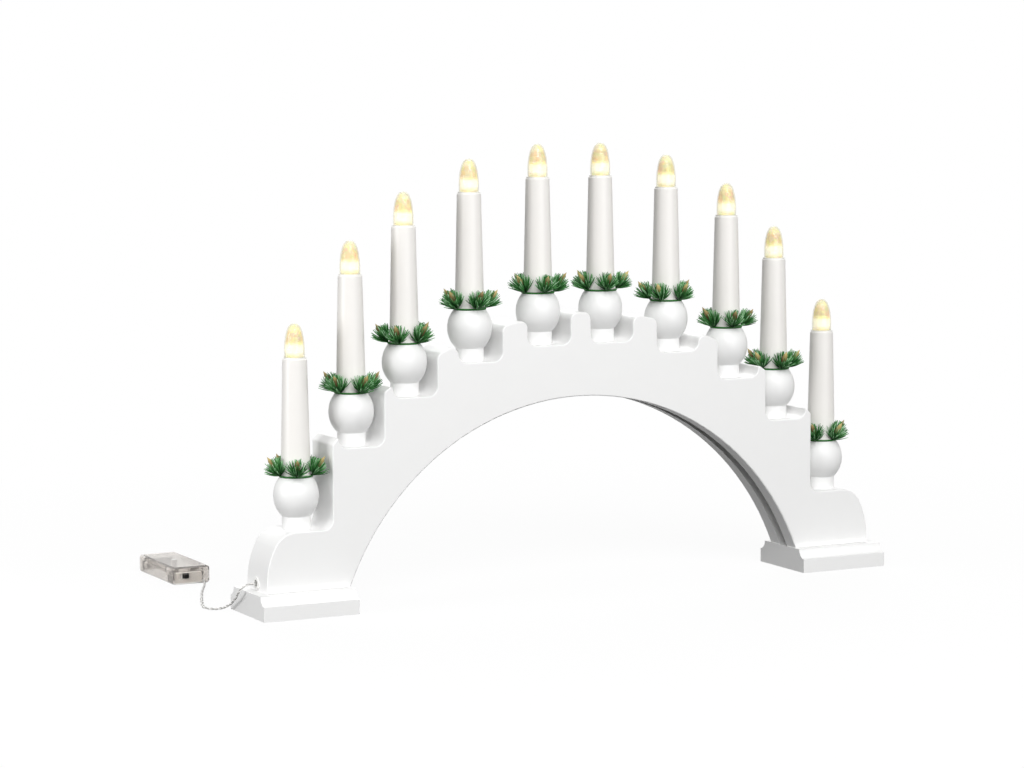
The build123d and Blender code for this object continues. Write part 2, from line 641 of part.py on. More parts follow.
def lid_screw():
    """The small screw that holds the lid, its head level with the lid's top."""
    shank = upright(BOX_X, BOX_HEIGHT - LID_SCREW_LENGTH, BOX_HEIGHT, LID_SCREW_RADIUS, LID_SCREW_Y)
    return shank + upright(BOX_X, BOX_HEIGHT - LID_SCREW_HEAD, BOX_HEIGHT, LID_SCREW_HEAD_RADIUS, LID_SCREW_Y)


def slider_span(margin):
    """The X limits of the slider's foot, grown by a margin at both ends."""
    half = SLIDER_WIDTH / 2 + SLIDER_FOOT + margin
    return (SLIDER_X - half, SLIDER_X + half)


def switch_body():
    """The switch's block behind the front wall, with the channel that its slider runs in."""
    low = BOX_WALL
    middle = BOX_X + SWITCH_BODY_OFFSET
    x_range = (middle - SWITCH_BODY_WIDTH / 2, middle + SWITCH_BODY_WIDTH / 2)
    y_range = (SWITCH_FACE_Y, SWITCH_FACE_Y + SWITCH_BODY_DEPTH)
    body = block(x_range, y_range, (low, low + SWITCH_BODY_HEIGHT))
    start, end = slider_span(SLIDER_CLEARANCE)
    half = SLIDER_HEIGHT / 2 + SLIDER_FOOT + SLIDER_CLEARANCE
    channel = (SWITCH_FACE_Y, SWITCH_FACE_Y + SLIDER_FOOT_DEPTH + 2 * SLIDER_CLEARANCE)
    return body - block((start - SLIDER_TRAVEL, end), channel, (SLIDER_Z - half, SLIDER_Z + half))


def switch_slider():
    """The black slider: a foot in the switch's channel and a ridged knob through the front wall."""
    half = SLIDER_HEIGHT / 2
    back = SWITCH_FACE_Y + SLIDER_CLEARANCE
    foot = block(
        slider_span(0),
        (back, back + SLIDER_FOOT_DEPTH),
        (SLIDER_Z - half - SLIDER_FOOT, SLIDER_Z + half + SLIDER_FOOT),
    )
    knob_x = (SLIDER_X - SLIDER_WIDTH / 2, SLIDER_X + SLIDER_WIDTH / 2)
    front = BOX_FRONT_Y - SLIDER_PROUD
    knob = block(knob_x, (front, back + SLIDER_FOOT_DEPTH), (SLIDER_Z - half, SLIDER_Z + half))
    rib = SLIDER_WIDTH / 5
    for k in (1, 3):
        cut = (knob_x[0] + k * rib, knob_x[0] + (k + 1) * rib)
        knob -= block(cut, (front, front + SLIDER_PROUD / 2), (SLIDER_Z - half, SLIDER_Z + half))
    return foot + knob


def biarc(start, start_way, end, end_way):
    """Two tangent arcs from one point and direction to another."""
    gap = end - start
    both = start_way + end_way
    bend = 2 * (1 - start_way.dot(end_way))
    reach = (math.sqrt(gap.dot(both) ** 2 + bend * gap.dot(gap)) - gap.dot(both)) / bend
    joint = (start + start_way * reach + end - end_way * reach) * 0.5
    first = TangentArc(start, joint, tangent=start_way)
    return [first, TangentArc(joint, end, tangent=first % 1)]


def contact_spring(x, seat_y, direction):
    """A coil spring that stands on its plate at seat_y and presses along Y."""
    z = BOX_WALL + CONTACT_HEIGHT / 2
    rise = SPRING_PITCH / (2 * math.pi)
    lead_in = SPRING_END_BEND + 2 * SPRING_WIRE_RADIUS

    def place(turn):
        return Vector(SPRING_RADIUS * math.cos(turn), SPRING_RADIUS * math.sin(turn), lead_in + rise * turn)

    def heading(turn):
        return Vector(-SPRING_RADIUS * math.sin(turn), SPRING_RADIUS * math.cos(turn), rise).normalized()

    quarter = math.pi / 2
    first, first_way = place(0), heading(0)
    foot = first - first_way * SPRING_END_BEND - Vector(0, 0, SPRING_END_BEND)
    edges = [Line(Vector(foot.X, foot.Y, 0), foot)]
    edges += biarc(foot, Vector(0, 0, 1), first, first_way)
    for k in range(4 * SPRING_TURNS):
        start, end = k * quarter, (k + 1) * quarter
        edges += biarc(place(start), heading(start), place(end), heading(end))
    path = Wire(edges)
    wire = sweep(Plane(path @ 0, z_dir=path % 0) * Circle(SPRING_WIRE_RADIUS), path=path)
    coil = [place(k * quarter / 6) for k in range(24 * SPRING_TURNS + 1)]
    apart = min((a - b).length for i, a in enumerate(coil) for b in coil[i + 12:])
    print("contact spring least gap to itself", round(apart - 2 * SPRING_WIRE_RADIUS, 2))
    stand = Plane((BOX_X + x, seat_y, z), x_dir=(1, 0, 0), z_dir=(0, direction, 0))
    return stand * wire


def contact_plates():
    """The sheet contacts: a bridge at the back, a plate a cell at the bulkhead and a strip to the switch."""
    z_range = (BOX_WALL, BOX_WALL + CONTACT_HEIGHT)
    half = CONTACT_WIDTH / 2
    back = (BAY_END_Y - CONTACT_THICKNESS, BAY_END_Y)
    front = (BAY_START_Y, BAY_START_Y + CONTACT_THICKNESS)
    plates = [block((BOX_X - CELL_X - half, BOX_X + CELL_X + half), back, z_range)]
    for x in (-CELL_X, CELL_X):
        plates.append(block((BOX_X + x - half, BOX_X + x + half), front, z_range))
    wall = BOX_X - BOX_INNER_HALF
    bay = (SWITCH_FACE_Y + BOX_CORNER - BOX_WALL, BAY_START_Y - BOX_CORNER)
    plates.append(block((wall, wall + CONTACT_THICKNESS), bay, (BOX_WALL, BOX_WALL + STRIP_HEIGHT)))
    return plates


parts = {
    "arch_board": arch_board(),
    "plinth_left": plinth(-1),
    "plinth_right": plinth(1),
    "plinth_screws": Compound(
        children=[screw(x, y) for x in (-SCREW_X, SCREW_X) for y in (-SCREW_Y, SCREW_Y)]
    ),
    "wiring_harness": wiring_harness(),
    "cable_grommet": cable_grommet(),
    "cord": cord(),
    "battery_case": battery_case(),
    "battery_lid": battery_lid(),
    "lid_screw": lid_screw(),
    "switch_body": switch_body(),
    "switch_slider": switch_slider(),
    "contact_plates": Compound(children=contact_plates()),
    "contact_springs": Compound(
        children=[
            contact_spring(-CELL_X, BAY_END_Y - CONTACT_THICKNESS, -1),
            contact_spring(CELL_X, BAY_START_Y + CONTACT_THICKNESS, 1),
        ]
    ),
}

# Ten candles, numbered from the left
models = {"candle_cup": candle_cup(), "candle_tube": candle_tube(), "flame_bulb": flame_bulb()}
seats = [Pos(x, 0, tread) for x, tread in zip(ALL_X, ALL_TREADS)]
parts["lamp_holders"] = Compound(children=[seat * lamp_holder() for seat in seats])
parts["led_emitters"] = Compound(children=[seat * emitter() for seat in seats])
ring_model = pine_ring()
for number, seat in enumerate(seats, start=1):
    for name, model in models.items():
        parts[f"{name}_{number}"] = seat * model
    turn = FIRST_TUFT_ANGLE + RING_TURN[number - 1]
    parts[f"pine_ring_{number}"] = seat * Rot(Z=turn) * ring_model

for name, solid in parts.items():
    export_step(solid, f"parts/{name}.step")
print("nodes", len(parts))
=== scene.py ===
# %% [markdown]
# # A lit candle arch, dressed for its photograph
#
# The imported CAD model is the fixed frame: every piece below is placed in its frame, in metres, and moves
# with one of its bodies. Shapes that are right in the CAD model only get a finish. Soft or fine things,
# such as the twisted cord and the pine trim, are built here.

import math
import random

import bmesh
import bpy
from mathutils import Matrix, Vector
from mathutils.bvhtree import BVHTree


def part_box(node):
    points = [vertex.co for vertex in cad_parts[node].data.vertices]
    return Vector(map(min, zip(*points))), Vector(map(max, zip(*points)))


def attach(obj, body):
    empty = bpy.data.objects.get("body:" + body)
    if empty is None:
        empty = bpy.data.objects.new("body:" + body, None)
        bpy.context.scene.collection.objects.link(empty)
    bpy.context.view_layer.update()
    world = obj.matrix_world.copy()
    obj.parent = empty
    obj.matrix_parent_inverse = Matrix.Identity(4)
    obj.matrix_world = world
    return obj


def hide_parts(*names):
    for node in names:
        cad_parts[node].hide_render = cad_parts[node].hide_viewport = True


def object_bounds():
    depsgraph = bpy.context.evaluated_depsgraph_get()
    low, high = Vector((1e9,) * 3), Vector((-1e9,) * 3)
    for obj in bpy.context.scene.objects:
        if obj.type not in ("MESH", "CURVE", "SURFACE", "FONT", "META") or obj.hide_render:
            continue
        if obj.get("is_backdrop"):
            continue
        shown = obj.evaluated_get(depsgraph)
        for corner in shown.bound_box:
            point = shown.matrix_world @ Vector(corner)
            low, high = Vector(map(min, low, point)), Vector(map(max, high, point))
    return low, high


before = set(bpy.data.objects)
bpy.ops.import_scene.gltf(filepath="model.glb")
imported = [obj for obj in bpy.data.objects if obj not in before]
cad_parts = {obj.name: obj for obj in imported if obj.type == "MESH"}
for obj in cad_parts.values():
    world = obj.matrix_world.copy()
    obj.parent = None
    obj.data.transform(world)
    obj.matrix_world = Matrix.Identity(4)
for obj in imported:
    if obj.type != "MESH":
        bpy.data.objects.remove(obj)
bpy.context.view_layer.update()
MM = 0.001
COUNT = 10
ROOT = "arch"
scene = bpy.context.scene
scene.view_settings.view_transform = "Standard"

# %% [markdown]
# ## Camera
#
# The photograph was taken with a long lens from the front left, a little above the arch. The place and
# angles come from matching known points of the arch to the picture, so they are plain numbers.

# %% Camera
CAMERA_PLACE = Vector((-1.03566, -1.96167, 0.38477))
CAMERA_LENS = 109.44
SENSOR_WIDTH = 36.0
CAMERA_YAW = math.radians(26.77)
CAMERA_PITCH = math.radians(6.118)
CAMERA_ROLL = math.radians(-0.217)

forward = Vector((
    math.sin(CAMERA_YAW) * math.cos(CAMERA_PITCH),
    math.cos(CAMERA_YAW) * math.cos(CAMERA_PITCH),
    -math.sin(CAMERA_PITCH),
))
level_right = Vector((math.cos(CAMERA_YAW), -math.sin(CAMERA_YAW), 0))
level_up = level_right.cross(forward)
right = level_right * math.cos(CAMERA_ROLL) + level_up * math.sin(CAMERA_ROLL)
up = right.cross(forward)
camera_data = bpy.data.cameras.new("photo_camera")
camera_data.sensor_width = SENSOR_WIDTH
camera_data.lens = CAMERA_LENS
camera = bpy.data.objects.new("photo_camera", camera_data)
camera.matrix_world = Matrix.Translation(CAMERA_PLACE) @ Matrix((right, up, -forward)).transposed().to_4x4()
scene.collection.objects.link(camera)
scene.camera = camera
print("camera looks along", [round(x, 3) for x in forward])

# %% [markdown]
# ## Finishes
#
# Most of this object is white, so its finishes differ by gloss and by fine surface relief more than by
# colour. One helper makes a finish with a base colour that wanders a little and a fine bump, both read
# from Object coordinates, so that the pattern has the same size on every piece.

# %% Helpers for finishes and pieces
BUMP_HEIGHT = 0.2 * MM
GRAINS_PER_CLOUD = 12
MERGE_DISTANCE = 0.002 * MM


def relief_finish(name, roughness, grain, relief, **sockets):
    """A Principled finish with a fine bump. Sockets set shader inputs."""
    material = bpy.data.materials.new(name)
    material.use_nodes = True
    nodes, links = material.node_tree.nodes, material.node_tree.links
    shader = nodes["Principled BSDF"]
    coords = nodes.new("ShaderNodeTexCoord")
    fine = nodes.new("ShaderNodeTexNoise")
    fine.inputs["Scale"].default_value = grain
    fine.inputs["Detail"].default_value = 2
    bump = nodes.new("ShaderNodeBump")
    bump.inputs["Strength"].default_value = relief
    bump.inputs["Distance"].default_value = BUMP_HEIGHT
    links.new(coords.outputs["Object"], fine.inputs["Vector"])
    links.new(fine.outputs["Fac"], bump.inputs["Height"])
    links.new(bump.outputs["Normal"], shader.inputs["Normal"])
    shader.inputs["Roughness"].default_value = roughness
    for socket, value in sockets.items():
        shader.inputs[socket.replace("_", " ")].default_value = value
    return material


def finish(name, colour, roughness, grain=600.0, relief=0.04, wander=0.03, **sockets):
    """A finish with a fine bump and a linear colour that wanders a little."""
    material = relief_finish(name, roughness, grain, relief, **sockets)
    nodes, links = material.node_tree.nodes, material.node_tree.links
    coords = nodes.new("ShaderNodeTexCoord")
    cloud = nodes.new("ShaderNodeTexNoise")
    cloud.inputs["Scale"].default_value = grain / GRAINS_PER_CLOUD
    cloud.inputs["Detail"].default_value = 4
    tint = nodes.new("ShaderNodeMixRGB")
    tint.inputs["Color1"].default_value = (*[c * (1 - wander) for c in colour], 1)
    tint.inputs["Color2"].default_value = (*[min(1, c * (1 + wander)) for c in colour], 1)
    links.new(coords.outputs["Object"], cloud.inputs["Vector"])
    links.new(cloud.outputs["Fac"], tint.inputs["Fac"])
    links.new(tint.outputs["Color"], nodes["Principled BSDF"].inputs["Base Color"])
    return material


def set_stops(ramp, stops):
    """Give a colour ramp its stops. The first and last ones are its two ends."""
    elements = ramp.color_ramp.elements
    for end in (0, -1):
        place, colour = stops[end]
        elements[end].position = place
        elements[end].color = (*colour, 1)
    for place, colour in stops[1:-1]:
        elements.new(place).color = (*colour, 1)


def dress(material, *nodes):
    """Give CAD nodes a finish."""
    for name in nodes:
        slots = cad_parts[name].data.materials
        slots.clear()
        slots.append(material)


def each(stem):
    """The ten nodes of one kind, from the left."""
    return [f"{stem}_{number}" for number in range(1, COUNT + 1)]


def add_piece(name, mesh, material):
    """Link a mesh as a piece that rides on the arch."""
    piece = bpy.data.objects.new(name, mesh)
    scene.collection.objects.link(piece)
    mesh.materials.append(material)
    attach(piece, ROOT)
    return piece


def mesh_from(bm, name, smooth=True):
    """Close a bmesh into a mesh, merged and with its faces pointing outwards."""
    bmesh.ops.remove_doubles(bm, verts=bm.verts, dist=MERGE_DISTANCE)
    bmesh.ops.recalc_face_normals(bm, faces=bm.faces)
    for face in bm.faces:
        face.smooth = smooth
    mesh = bpy.data.meshes.new(name)
    bm.to_mesh(mesh)
    bm.free()
    return mesh


# %% [markdown]
# ## The cord
#
# A thin pair of leads, twisted together, runs from the hole in the left end down beside the plinth, over
# the table and into the battery box. Its route is a NURBS spline through the same control points as the
# CAD tube. The two leads are then wound round points read from that spline. Behind the clear front the
# pair goes on up to the switch.

# %% Route of the cord
CORD_POINTS = [
    (-241.4, 0.0, 21.9),
    (-245.4, -0.1, 21.9),
    (-249.6, -0.2, 21.6),
    (-253.2, 0.4, 19.8),
    (-254.8, 2.6, 16.6),
    (-255.0, 6.0, 13.2),
    (-254.6, 10.8, 10.4),
    (-254.4, 16.0, 7.4),
    (-254.6, 21.6, 4.4),
    (-256.8, 26.6, 1.8),
    (-260.6, 29.8, 0.9),
    (-264.6, 33.0, 0.9),
    (-266.2, 38.4, 0.9),
    (-265.0, 45.6, 0.9),
    (-261.2, 57.0, 0.9),
    (-254.0, 76.0, 0.9),
    (-245.4, 98.0, 0.9),
    (-237.0, 116.0, 1.0),
    (-231.2, 127.8, 1.7),
    (-229.2, 138.0, 2.4),
]
CORD_RADIUS = 0.85 * MM
LEAD_RADIUS = 0.40 * MM
TWIST_LENGTH = 6.4 * MM
CORD_WAVE = 0.5 * MM
CORD_WAVE_PERIOD = 11.0 * MM
BOX_LEAD_POINTS = [
    (-229.2, 138.0, 2.4),
    (-228.9, 139.4, 2.9),
    (-228.2, 140.2, 4.6),
    (-227.2, 140.6, 7.2),
    (-226.9, 141.6, 9.0),
    (-228.0, 143.2, 9.2),
    (-231.2, 143.6, 8.5),
]


def mesh_of_curve(curve, name):
    """The mesh that a curve is drawn as."""
    holder = bpy.data.objects.new(name, curve)
    scene.collection.objects.link(holder)
    bpy.context.view_layer.update()
    drawn = bpy.data.meshes.new_from_object(holder.evaluated_get(bpy.context.evaluated_depsgraph_get()))
    bpy.data.objects.remove(holder)
    return drawn


def route_points(points, name, resolution=14):
    """Points along a NURBS spline with these control points, read from its unbevelled curve."""
    curve = bpy.data.curves.new(name, "CURVE")
    curve.dimensions = "3D"
    curve.resolution_u = resolution
    spline = curve.splines.new("NURBS")
    spline.points.add(len(points) - 1)
    for control, place in zip(spline.points, points):
        control.co = (*[x * MM for x in place], 1)
    spline.order_u = 3
    spline.use_endpoint_u = True
    return [v.co.copy() for v in mesh_of_curve(curve, name).vertices]


def wind(places, phase, offset, lay):
    """Points of one lead that winds round a line, with a frame carried along it without turning."""
    side = None
    travelled = 0.0
    wound = []
    for index, place in enumerate(places):
        ahead = places[min(index + 1, len(places) - 1)] - places[max(index - 1, 0)]
        ahead.normalize()
        if side is None:
            side = ahead.cross(Vector((0, 0, 1))).normalized()
        else:
            travelled += (place - places[index - 1]).length
            side = (side - ahead * side.dot(ahead)).normalized()
        turn = phase + 2 * math.pi * travelled / lay
        wound.append(place + (side * math.cos(turn) + ahead.cross(side) * math.sin(turn)) * offset)
    return wound


def waved(places, height, period):
    """A line with a slight sideways wave that dies away towards both ends."""
    travelled = [0.0]
    for before, here in zip(places, places[1:]):
        travelled.append(travelled[-1] + (here - before).length)
    moved = [places[0]]
    for index in range(1, len(places) - 1):
        side = (places[index + 1] - places[index - 1]).cross(Vector((0, 0, 1))).normalized()
        share = math.sin(math.pi * travelled[index] / travelled[-1])
        swing = math.sin(2 * math.pi * travelled[index] / period)
        moved.append(places[index] + side * height * share * swing)
    return moved + [places[-1]]


def wire_mesh(lines, radius, name):
    """One mesh of round wires along lists of points, each with the material of its number."""
    bm = bmesh.new()
    for number, line in enumerate(lines):
        there = set(bm.faces)
        curve = bpy.data.curves.new(name, "CURVE")
        curve.dimensions = "3D"
        curve.bevel_depth = radius
        curve.bevel_resolution = 2
        curve.use_fill_caps = True
        spline = curve.splines.new("POLY")
        spline.points.add(len(line) - 1)
        for point, place in zip(spline.points, line):
            point.co = (*place, 1)
        tube = mesh_of_curve(curve, name)
        bm.from_mesh(tube)
        for face in bm.faces:
            if face not in there:
                face.material_index = number
        bpy.data.meshes.remove(tube)
    return mesh_from(bm, name)


def twisted_pair(name, line):
    """A piece of two leads, one pale and one darker, wound round a line."""
    leads = [wind(line, phase, CORD_RADIUS - LEAD_RADIUS, TWIST_LENGTH) for phase in (0, math.pi)]
    pair = add_piece(name, wire_mesh(leads, LEAD_RADIUS, name), lead_plastic)
    pair.data.materials.append(dark_lead)
    return pair


lead_plastic = finish("lead_plastic", (0.78, 0.77, 0.75), 0.38, grain=2500, relief=0.02, wander=0.05)
dark_lead = finish("dark_lead", (0.46, 0.455, 0.44), 0.38, grain=2500, relief=0.02, wander=0.05)
cord_line = waved(route_points(CORD_POINTS, "cord_route"), CORD_WAVE, CORD_WAVE_PERIOD)
cord = twisted_pair("cord_pair", cord_line)
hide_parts("cord")
twisted_pair("box_lead", route_points(BOX_LEAD_POINTS, "box_route", resolution=6))

# %% [markdown]
# ## White paint, plastic and metal
#
# The arch, plinths and cups are sprayed satin white. The candle tubes are a slightly warmer plastic.
# These shapes are right in the CAD model, so they only get their finish.

# %% Finishes of the carried-over pieces
white_paint = finish("white_paint", (0.86, 0.86, 0.855), 0.42, grain=900, relief=0.05, wander=0.012)
candle_plastic = finish("candle_plastic", (0.85, 0.83, 0.80), 0.36, grain=1400, relief=0.02, wander=0.012)
holder_plastic = finish("holder_plastic", (0.88, 0.87, 0.84), 0.35, grain=1400, relief=0.02, wander=0.01)
grommet_plastic = finish("grommet_plastic", (0.86, 0.86, 0.84), 0.35, grain=1400, relief=0.02, wander=0.01)
switch_grey = finish("switch_grey", (0.74, 0.72, 0.69), 0.5, grain=2000, relief=0.03)
switch_black = finish("switch_black", (0.008, 0.008, 0.008), 0.55, grain=2500, relief=0.03,
                      Specular_IOR_Level=0.15)
spring_steel = finish("spring_steel", (0.55, 0.54, 0.52), 0.28, grain=2500, relief=0.02, Metallic=1.0)
screw_steel = finish("screw_steel", (0.58, 0.58, 0.57), 0.25, grain=2500, relief=0.02, Metallic=1.0)

dress(white_paint, "arch_board", "plinth_left", "plinth_right", *each("candle_cup"))
dress(candle_plastic, *each("candle_tube"))
dress(holder_plastic, "lamp_holders")
dress(lead_plastic, "wiring_harness")
dress(grommet_plastic, "cable_grommet")
dress(switch_grey, "switch_body")
dress(switch_black, "switch_slider")
dress(spring_steel, "contact_springs")
dress(screw_steel, "plinth_screws", "lid_screw")
print("finished", len(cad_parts), "nodes")

# %% [markdown]
# ## The battery box
#
# The case is clear plastic with a faint grey-beige tint, so the springs, plates and switch show through.
# The tint sits on the shader itself, and the walls are real, so light takes its colour from passing them.
# The contact plates lie flat against the clear walls. Where two faces share one place, some light gets
# inside a plate and can't get out, which shows as black, so the plates' faces let light pass from their
# inside.


# %% Clear case and contact plates
def let_light_out(material):
    """Make a finish clear where a face is met from the inside of its piece."""
    nodes, links = material.node_tree.nodes, material.node_tree.links
    side = nodes.new("ShaderNodeNewGeometry")
    outside = nodes.new("ShaderNodeMath")
    outside.operation = "SUBTRACT"
    outside.inputs[0].default_value = 1.0
    links.new(side.outputs["Backfacing"], outside.inputs[1])
    links.new(outside.outputs[0], nodes["Principled BSDF"].inputs["Alpha"])


clear_case = finish("clear_case", (0.80, 0.775, 0.75), 0.05, grain=900, relief=0.01, wander=0.01,
                    Transmission_Weight=0.9, IOR=1.12)
plate_steel = finish("plate_steel", (0.34, 0.33, 0.32), 0.32, grain=2500, relief=0.02, Metallic=1.0)
let_light_out(plate_steel)
dress(clear_case, "battery_case", "battery_lid")
dress(plate_steel, "contact_plates")
print("clear case and plates dressed")

# %% [markdown]
# ## Flame bulbs
#
# Each lamp is a clear flame-shaped cap over a faceted lens with a warm lamp in its foot. Both are spun
# from half profiles. The cap is a smooth shell, a little blunter at its tip than the plain solid that it
# stands for. The lens has few steps and is left flat, so that its facets sparkle. Its colour follows an
# attribute that runs from the foot to the tip: bright pale yellow, then amber, then a pale tip. A painted
# sparkle of small cells, standing in for glints off the facets, lightens and darkens its colour and glow.

# %% Bulb profiles
LENS_STEPS = 12
LENS_PROFILE = [(2.9, 0.3), (6.1, 0.3), (6.1, 6.5), (5.9, 9.9), (5.4, 13.8), (4.6, 17.0), (3.4, 19.8),
                (1.9, 21.4), (0.0, 22.2)]
LENS_BORE = [(0.0, 8.4), (2.0, 8.2), (2.9, 7.0)]
LENS_TINTS = [
    (0.00, (0.62, 0.57, 0.34)),
    (0.10, (0.88, 0.84, 0.64)),
    (0.16, (0.92, 0.91, 0.86)),
    (0.35, (0.92, 0.90, 0.78)),
    (0.42, (0.78, 0.69, 0.40)),
    (0.52, (0.55, 0.41, 0.19)),
    (0.74, (0.51, 0.38, 0.18)),
    (0.86, (0.64, 0.59, 0.37)),
    (1.00, (0.58, 0.60, 0.38)),
]
LENS_GLOW = 0.75
SPARKLE_SCALE = 420
SPARKLE_SHARE = 0.45
CAP_STEPS = 40
CAP_PROFILE = [(7.2, 0.0), (7.2, 6.0), (6.95, 10.0), (6.45, 14.0), (5.6, 17.7), (4.3, 20.8), (2.5, 22.7),
               (0.0, 23.4)]
CAP_INSIDE = [(0.0, 22.7), (2.3, 22.0), (3.8, 20.2), (5.0, 17.3), (5.8, 13.8), (6.3, 9.9), (6.5, 6.0),
              (6.5, 0.0)]


def lens_finish():
    """The lens: its glow and colour follow the rise attribute, broken up by a painted sparkle of small cells.
    """
    material = bpy.data.materials.new("lens_glow")
    material.use_nodes = True
    nodes, links = material.node_tree.nodes, material.node_tree.links
    shader = nodes["Principled BSDF"]
    rise = nodes.new("ShaderNodeAttribute")
    rise.attribute_name = "rise"
    ramp = nodes.new("ShaderNodeValToRGB")
    set_stops(ramp, LENS_TINTS)
    # Painted sparkle: a cell pattern lightens and darkens the colour and glow, standing in for glints off the
    # facets.
    sparkle_cells = nodes.new("ShaderNodeTexVoronoi")
    sparkle_cells.inputs["Scale"].default_value = SPARKLE_SCALE
    coords = nodes.new("ShaderNodeTexCoord")
    sparkle = nodes.new("ShaderNodeMixRGB")
    sparkle.blend_type = "SOFT_LIGHT"
    sparkle.inputs["Fac"].default_value = SPARKLE_SHARE
    links.new(coords.outputs["Object"], sparkle_cells.inputs["Vector"])
    links.new(rise.outputs["Fac"], ramp.inputs["Fac"])
    links.new(ramp.outputs["Color"], sparkle.inputs["Color1"])
    links.new(sparkle_cells.outputs["Color"], sparkle.inputs["Color2"])
    links.new(sparkle.outputs["Color"], shader.inputs["Base Color"])
    links.new(sparkle.outputs["Color"], shader.inputs["Emission Color"])
    shader.inputs["Emission Strength"].default_value = LENS_GLOW
    shader.inputs["Roughness"].default_value = 0.15
    return material


def spun_mesh(half, steps, foot, name, smooth):
    """A closed body spun from a half profile, with an attribute that rises from its foot to its tip."""
    bm = bmesh.new()
    verts = [bm.verts.new((r * MM, 0, z * MM)) for r, z in half]
    edges = [bm.edges.new(pair) for pair in zip(verts, verts[1:] + verts[:1])]
    edges = [edge for edge in edges if max(v.co.x for v in edge.verts) > 0]
    bmesh.ops.spin(bm, geom=verts + edges, cent=(0, 0, 0), axis=(0, 0, 1), angle=2 * math.pi, steps=steps,
                   use_merge=True)
    loose = [edge for edge in bm.edges if not edge.link_faces]
    bmesh.ops.delete(bm, geom=loose, context="EDGES")
    bmesh.ops.remove_doubles(bm, verts=bm.verts, dist=MERGE_DISTANCE)
    top = max(v.co.z for v in bm.verts)
    rise = bm.verts.layers.float.new("rise")
    for vert in bm.verts:
        vert[rise] = vert.co.z / top
    bmesh.ops.translate(bm, verts=bm.verts, vec=foot)
    return mesh_from(bm, name, smooth)


bulb_clear = finish("bulb_clear", (0.88, 0.83, 0.56), 0.06, grain=500, relief=0.02, wander=0.01, Alpha=0.3,
                    IOR=1.45)
lens_glow = lens_finish()
emitter_glow = finish("emitter_glow", (0.98, 0.86, 0.55), 0.3, Emission_Strength=1.0,
                      Emission_Color=(1.0, 0.86, 0.5, 1))
dress(emitter_glow, "led_emitters")
for number, node in enumerate(each("flame_bulb"), start=1):
    low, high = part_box(node)
    foot = Vector(((low.x + high.x) / 2, (low.y + high.y) / 2, low.z))
    cap_shape = spun_mesh(CAP_PROFILE + CAP_INSIDE, CAP_STEPS, foot, f"flame_cap_{number}", smooth=True)
    cap = add_piece(f"flame_cap_{number}", cap_shape, bulb_clear)
    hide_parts(node)
    lens_shape = spun_mesh(LENS_PROFILE + LENS_BORE, LENS_STEPS, foot, f"flame_lens_{number}", smooth=False)
    add_piece(f"flame_lens_{number}", lens_shape, lens_glow)
print("caps and lenses", COUNT)

# %% [markdown]
# ## Pine trim
#
# Round each candle's foot lies a green wire ring with tufts of soft plastic pine, each with a golden bud.
# A needle is one small curved cone, made once and repeated. Needles fan out from each tuft's heart, and
# one that would run into the arch, the cup or the tube is turned up towards the tuft's axis until it is
# clear.

# %% Pine finishes
PINE_DARK = (0.004, 0.018, 0.004)
PINE_MID = (0.018, 0.110, 0.020)
PINE_LIGHT = (0.085, 0.290, 0.085)
PINE_MINT_HIGHLIGHT = (0.360, 0.600, 0.360)


def ramp_finish(name, attribute, stops, roughness):
    """A finish whose colour follows an attribute of the mesh."""
    material = relief_finish(name, roughness, grain=2500, relief=0.03, Specular_IOR_Level=0.18)
    nodes, links = material.node_tree.nodes, material.node_tree.links
    reader = nodes.new("ShaderNodeAttribute")
    reader.attribute_name = attribute
    ramp = nodes.new("ShaderNodeValToRGB")
    set_stops(ramp, stops)
    links.new(reader.outputs["Fac"], ramp.inputs["Fac"])
    links.new(ramp.outputs["Color"], nodes["Principled BSDF"].inputs["Base Color"])
    return material


# The needle ramp runs from dark green, for the painted shade at the needles' feet, to a painted mint highlight
# at their tips.
pine_needles = ramp_finish("pine_needles", "shade", [
    (0.0, PINE_DARK), (0.35, PINE_MID), (0.72, PINE_LIGHT), (1.0, PINE_MINT_HIGHLIGHT)], 0.5)
bud_brown = ramp_finish("bud_brown", "shade", [
    (0.0, (0.028, 0.017, 0.008)), (0.5, (0.125, 0.086, 0.036)), (1.0, (0.60, 0.48, 0.20))], 0.55)

# %% Needle and bud, made once
RING_RADIUS = 11.2 * MM
RING_WIRE = 0.7 * MM
RING_SIDES = 8
RING_STEPS = 40
NEEDLE_SIDES = 4
NEEDLE_BENDS = 2
NEEDLE_TIP = 0.35
NEEDLE_CURL = 0.24
BUD_STEPS = 8
BUD_PROFILE = [(0.0, 0.0), (1.1, 0.2), (1.75, 1.6), (1.55, 2.0), (1.9, 3.4), (1.6, 3.9), (1.75, 5.2),
               (1.35, 5.8), (1.35, 7.0), (0.85, 7.8), (0.0, 10.2)]


def needle_model():
    """A straight needle of unit length along Z and unit girth, cut across so that its copies can bend."""
    bm = bmesh.new()
    bmesh.ops.create_cone(bm, cap_ends=True, segments=NEEDLE_SIDES, radius1=1.0, radius2=NEEDLE_TIP,
                          depth=1.0)
    bmesh.ops.translate(bm, verts=bm.verts, vec=(0, 0, 0.5))
    long_edges = [e for e in bm.edges if abs(e.verts[0].co.z - e.verts[1].co.z) > 0.5]
    bmesh.ops.subdivide_edges(bm, edges=long_edges, cuts=NEEDLE_BENDS)
    mesh = bpy.data.meshes.new("needle_model")
    bm.to_mesh(mesh)
    bm.free()
    return mesh


